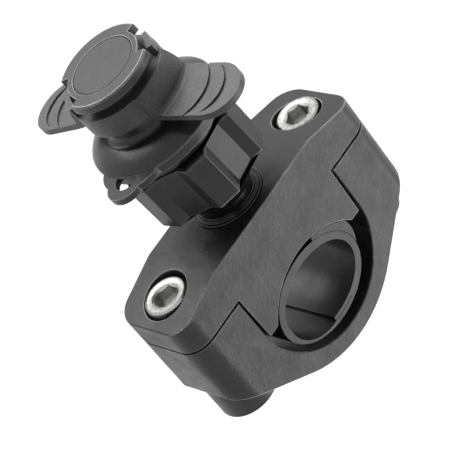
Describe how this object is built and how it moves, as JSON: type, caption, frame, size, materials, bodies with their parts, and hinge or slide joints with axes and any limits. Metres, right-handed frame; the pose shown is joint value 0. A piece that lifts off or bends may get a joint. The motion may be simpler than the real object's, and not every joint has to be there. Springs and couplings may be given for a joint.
{
  "type": "bike phone mount",
  "caption": "Handlebar clamp with rubber sleeves that carries a ball-jointed head whose spring-loaded winged collar locks a phone case by a bayonet disc.",
  "frame": {"origin": "centre of the upper saddle's arc, which is the axis of the largest handlebar the clamp takes", "axes": "+Y along the handlebar, +X from one clamp screw to the other, +Z from the handlebar towards the phone head"},
  "size_m": [0.0636, 0.0533, 0.0858],
  "materials": {
    "clamp_plastic": "fine moulded grain, satin black",
    "sleeve_rubber": "smooth dark grey rubber",
    "screw_steel": "bright zinc, cold-headed",
    "ball_metal": "gloss black",
    "socket_plastic": "satin black",
    "lock_nut_plastic": "satin black",
    "head_plastic": "satin black",
    "collar_plastic": "satin dark grey",
    "disc_plastic": "satin dark grey",
    "cap_plastic": "fine satin dark grey",
    "spring_steel": "drawn spring wire"
  },
  "bodies": {
    "clamp_body": {"clamp_upper": "clamp_plastic", "outer_sleeve": "sleeve_rubber", "inner_sleeve": "sleeve_rubber"},
    "lower_clamp": {"clamp_lower": "clamp_plastic", "clamp_nut_left": "screw_steel", "clamp_nut_right": "screw_steel"},
    "screw_left": {"clamp_screw_left": "screw_steel"},
    "screw_right": {"clamp_screw_right": "screw_steel"},
    "ball": {"ball_stud": "ball_metal", "stud_screw": "screw_steel"},
    "socket": {"collet_socket": "socket_plastic"},
    "nut": {"lock_nut": "lock_nut_plastic"},
    "head": {"head_base": "head_plastic", "bayonet_disc": "disc_plastic", "centre_screw": "screw_steel", "cap_disc": "cap_plastic", "return_spring": "spring_steel"},
    "collar": {"locking_collar": "collar_plastic"}
  },
  "joints": [
    {"name": "clamp_open", "type": "slide", "parent": "clamp_body", "child": "lower_clamp", "axis": [0, 0, -1], "range_m": [0, 0.0118]},
    {"name": "screw_left_turn", "type": "hinge", "parent": "clamp_body", "child": "screw_left", "pos_m": [-0.0242, 0, 0.028], "axis": [0, 0, 1], "continuous": true},
    {"name": "screw_right_turn", "type": "hinge", "parent": "clamp_body", "child": "screw_right", "pos_m": [0.0242, 0, 0.028], "axis": [0, 0, 1], "continuous": true},
    {"name": "ball_swivel", "type": "hinge", "parent": "clamp_body", "child": "ball", "pos_m": [0, 0, 0.042], "axis": [0, 0, 1], "continuous": true},
    {"name": "head_tilt", "type": "hinge", "parent": "ball", "child": "socket", "pos_m": [0, 0, 0.042], "axis": [-0.4382, -0.8989, 0], "range_deg": [-29.6, 20.3]},
    {"name": "head_spin", "type": "hinge", "parent": "socket", "child": "head", "pos_m": [-0.00121, 0.00059, 0.05845], "axis": [-0.0732, 0.0357, 0.9967], "continuous": true},
    {"name": "lock_nut_turn", "type": "hinge", "parent": "socket", "child": "nut", "pos_m": [-0.00042, 0.0002, 0.04768], "axis": [-0.0732, 0.0357, 0.9967], "continuous": true},
    {"name": "collar_slide", "type": "slide", "parent": "head", "child": "collar", "axis": [0.0732, -0.0357, -0.9967], "range_m": [0, 0.003], "stiffness_N_per_m": 1200, "springref_m": -0.0025, "deforming": ["return_spring"]}
  ],
  "couplings": [
    {"joint": "screw_left_turn", "follows": "clamp_open", "rad_per_m": 6283.2},
    {"joint": "screw_right_turn", "follows": "clamp_open", "rad_per_m": 6283.2}
  ]
}
